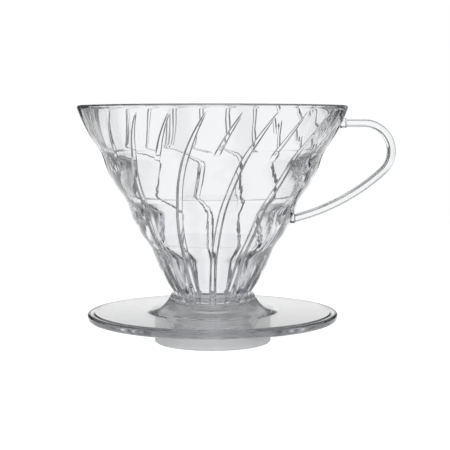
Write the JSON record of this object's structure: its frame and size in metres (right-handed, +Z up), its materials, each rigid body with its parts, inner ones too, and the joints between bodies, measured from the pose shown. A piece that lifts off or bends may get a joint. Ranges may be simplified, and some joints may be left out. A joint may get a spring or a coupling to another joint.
{
  "type": "pour over dripper",
  "caption": "Clear conical coffee dripper with spiral inner ribs, a loop handle, a round flange and a centring ring underneath.",
  "frame": {"origin": "on the axis of the cone, at the bottom face of the centring ring", "axes": "+Z up along the axis of the cone and the drain, +X towards the handle, so the ribs turn from -Y towards +X as they rise"},
  "size_m": [0.1367, 0.116, 0.102],
  "materials": {
    "clear_plastic": "clear, polished",
    "frosted_plastic": "translucent, fine matte"
  },
  "bodies": {
    "root": {"cone": "clear_plastic", "handle": "clear_plastic", "base_plate": "clear_plastic", "centring_ring": "frosted_plastic"}
  },
  "joints": []
}
